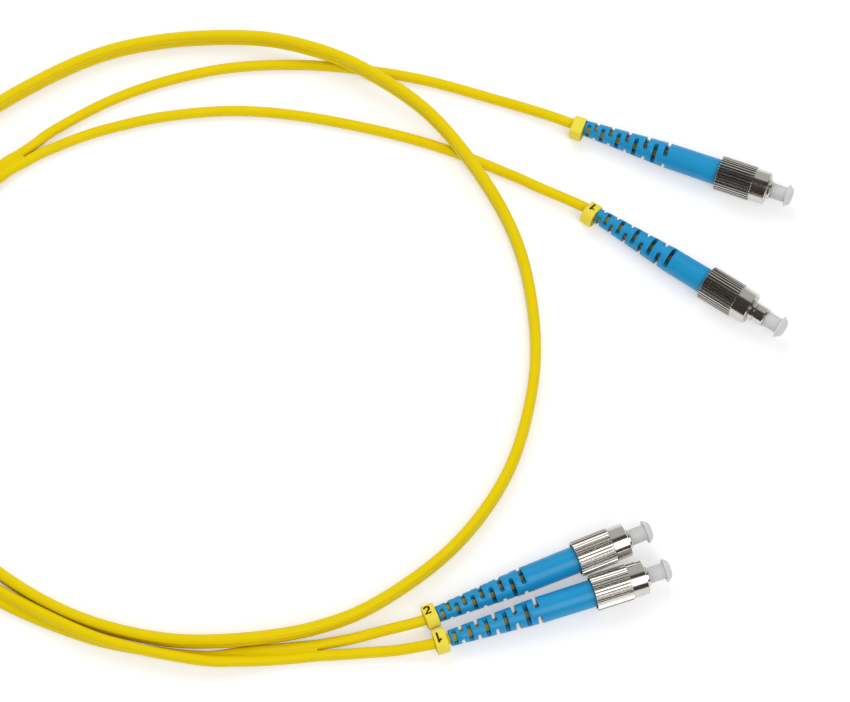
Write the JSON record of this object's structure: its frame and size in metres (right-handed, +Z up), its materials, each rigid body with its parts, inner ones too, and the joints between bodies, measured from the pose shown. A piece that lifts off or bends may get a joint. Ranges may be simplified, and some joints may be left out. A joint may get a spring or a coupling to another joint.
{
  "type": "duplex fiber optic patch cord",
  "caption": "Yellow zip cord laid in a loose loop and parted at each end into round legs with capped screw-lock optical plugs, slotted blue boots, knurled nuts and marker rings.",
  "frame": {"origin": "centre of the four plugs' bounding box, at table height", "axes": "+Z up from the table; +X the way the plugs point on the whole, +Y across the plugs from the lower pair to the upper pair"},
  "size_m": [0.2739, 0.1921, 0.0104],
  "materials": {
    "zirconia": "polished white zirconia",
    "nickel": "nickel-plated brass, satin",
    "nut_nickel": "nickel-plated brass, bright",
    "spring_steel": "bare spring steel",
    "crimp_metal": "nickel-plated, annealed",
    "buffer": "white tight buffer",
    "boot_blue": "satin moulded rubber",
    "cap_plastic": "soft translucent polyethylene",
    "marker_yellow": "satin lemon-yellow plastic",
    "cord_yellow": "satin yellow cable jacket"
  },
  "bodies": {
    "cord_set": {"a_plug_frame": "nickel", "a_stopper": "nickel", "a_crimp_sleeve": "crimp_metal", "a_spring": "spring_steel", "a_boot": "boot_blue", "a_leg_cord": "cord_yellow", "b_plug_frame": "nickel", "b_stopper": "nickel", "b_crimp_sleeve": "crimp_metal", "b_spring": "spring_steel", "b_boot": "boot_blue", "b_leg_cord": "cord_yellow", "c_plug_frame": "nickel", "c_stopper": "nickel", "c_crimp_sleeve": "crimp_metal", "c_spring": "spring_steel", "c_boot": "boot_blue", "c_leg_cord": "cord_yellow", "d_plug_frame": "nickel", "d_stopper": "nickel", "d_crimp_sleeve": "crimp_metal", "d_spring": "spring_steel", "d_boot": "boot_blue", "d_leg_cord": "cord_yellow", "duplex_cord": "cord_yellow"},
    "a_ferrule_unit": {"a_ferrule": "zirconia", "a_ferrule_holder": "nickel", "a_fibre": "buffer"},
    "a_slip_ring": {"a_nut_ring": "spring_steel"},
    "a_nut": {"a_coupling_nut": "nut_nickel"},
    "a_cap": {"a_dust_cap": "cap_plastic"},
    "a_marker": {"a_marker_ring": "marker_yellow"},
    "b_ferrule_unit": {"b_ferrule": "zirconia", "b_ferrule_holder": "nickel", "b_fibre": "buffer"},
    "b_slip_ring": {"b_nut_ring": "spring_steel"},
    "b_nut": {"b_coupling_nut": "nut_nickel"},
    "b_cap": {"b_dust_cap": "cap_plastic"},
    "b_marker": {"b_marker_ring": "marker_yellow"},
    "c_ferrule_unit": {"c_ferrule": "zirconia", "c_ferrule_holder": "nickel", "c_fibre": "buffer"},
    "c_slip_ring": {"c_nut_ring": "spring_steel"},
    "c_nut": {"c_coupling_nut": "nut_nickel"},
    "c_cap": {"c_dust_cap": "cap_plastic"},
    "c_marker": {"c_marker_ring": "marker_yellow"},
    "d_ferrule_unit": {"d_ferrule": "zirconia", "d_ferrule_holder": "nickel", "d_fibre": "buffer"},
    "d_slip_ring": {"d_nut_ring": "spring_steel"},
    "d_nut": {"d_coupling_nut": "nut_nickel"},
    "d_cap": {"d_dust_cap": "cap_plastic"},
    "d_marker": {"d_marker_ring": "marker_yellow"}
  },
  "joints": [
    {"name": "a_ferrule_float", "type": "slide", "parent": "cord_set", "child": "a_ferrule_unit", "axis": [0.9305, -0.3647, 0.0332], "range_m": [-0.0009, 0], "stiffness_N_per_m": 600, "deforming": ["a_spring"]},
    {"name": "a_nut_slide", "type": "slide", "parent": "cord_set", "child": "a_slip_ring", "axis": [0.9305, -0.3647, 0.0332], "range_m": [-0.0051, 0]},
    {"name": "a_nut_turn", "type": "hinge", "parent": "a_slip_ring", "child": "a_nut", "pos_m": [0.03916, 0.05922, 0.00525], "axis": [0.9305, -0.3647, 0.0332], "continuous": true},
    {"name": "a_cap_pull", "type": "slide", "parent": "a_ferrule_unit", "child": "a_cap", "axis": [0.9305, -0.3647, 0.0332], "range_m": [0, 0.012]},
    {"name": "a_marker_slide", "type": "slide", "parent": "cord_set", "child": "a_marker", "axis": [0.9305, -0.3647, 0.0332], "range_m": [-0.004, 0]},
    {"name": "b_ferrule_float", "type": "slide", "parent": "cord_set", "child": "b_ferrule_unit", "axis": [0.8187, -0.5733, 0.0332], "range_m": [-0.0009, 0], "stiffness_N_per_m": 600, "deforming": ["b_spring"]},
    {"name": "b_nut_slide", "type": "slide", "parent": "cord_set", "child": "b_slip_ring", "axis": [0.8187, -0.5733, 0.0332], "range_m": [-0.0013, 0.0038]},
    {"name": "b_nut_turn", "type": "hinge", "parent": "b_slip_ring", "child": "b_nut", "pos_m": [0.03364, 0.02336, 0.00525], "axis": [0.8187, -0.5733, 0.0332], "continuous": true},
    {"name": "b_cap_pull", "type": "slide", "parent": "b_ferrule_unit", "child": "b_cap", "axis": [0.8187, -0.5733, 0.0332], "range_m": [0, 0.012]},
    {"name": "b_marker_slide", "type": "slide", "parent": "cord_set", "child": "b_marker", "axis": [0.8187, -0.5733, 0.0332], "range_m": [-0.004, 0]},
    {"name": "c_ferrule_float", "type": "slide", "parent": "cord_set", "child": "c_ferrule_unit", "axis": [0.9273, 0.3728, 0.0332], "range_m": [-0.0009, 0], "stiffness_N_per_m": 600, "deforming": ["c_spring"]},
    {"name": "c_nut_slide", "type": "slide", "parent": "cord_set", "child": "c_slip_ring", "axis": [0.9273, 0.3728, 0.0332], "range_m": [-0.0051, 0]},
    {"name": "c_nut_turn", "type": "hinge", "parent": "c_slip_ring", "child": "c_nut", "pos_m": [-0.00397, -0.05138, 0.00525], "axis": [0.9273, 0.3728, 0.0332], "continuous": true},
    {"name": "c_cap_pull", "type": "slide", "parent": "c_ferrule_unit", "child": "c_cap", "axis": [0.9273, 0.3728, 0.0332], "range_m": [0, 0.012]},
    {"name": "c_marker_slide", "type": "slide", "parent": "cord_set", "child": "c_marker", "axis": [0.9273, 0.3728, 0.0332], "range_m": [-0.004, 0]},
    {"name": "d_ferrule_float", "type": "slide", "parent": "cord_set", "child": "d_ferrule_unit", "axis": [0.9527, 0.3022, 0.0332], "range_m": [-0.0009, 0], "stiffness_N_per_m": 600, "deforming": ["d_spring"]},
    {"name": "d_nut_slide", "type": "slide", "parent": "cord_set", "child": "d_slip_ring", "axis": [0.9527, 0.3022, 0.0332], "range_m": [-0.0051, 0]},
    {"name": "d_nut_turn", "type": "hinge", "parent": "d_slip_ring", "child": "d_nut", "pos_m": [0.00062, -0.06152, 0.00525], "axis": [0.9527, 0.3022, 0.0332], "continuous": true},
    {"name": "d_cap_pull", "type": "slide", "parent": "d_ferrule_unit", "child": "d_cap", "axis": [0.9527, 0.3022, 0.0332], "range_m": [0, 0.012]},
    {"name": "d_marker_slide", "type": "slide", "parent": "cord_set", "child": "d_marker", "axis": [0.9527, 0.3022, 0.0332], "range_m": [-0.004, 0]}
  ]
}
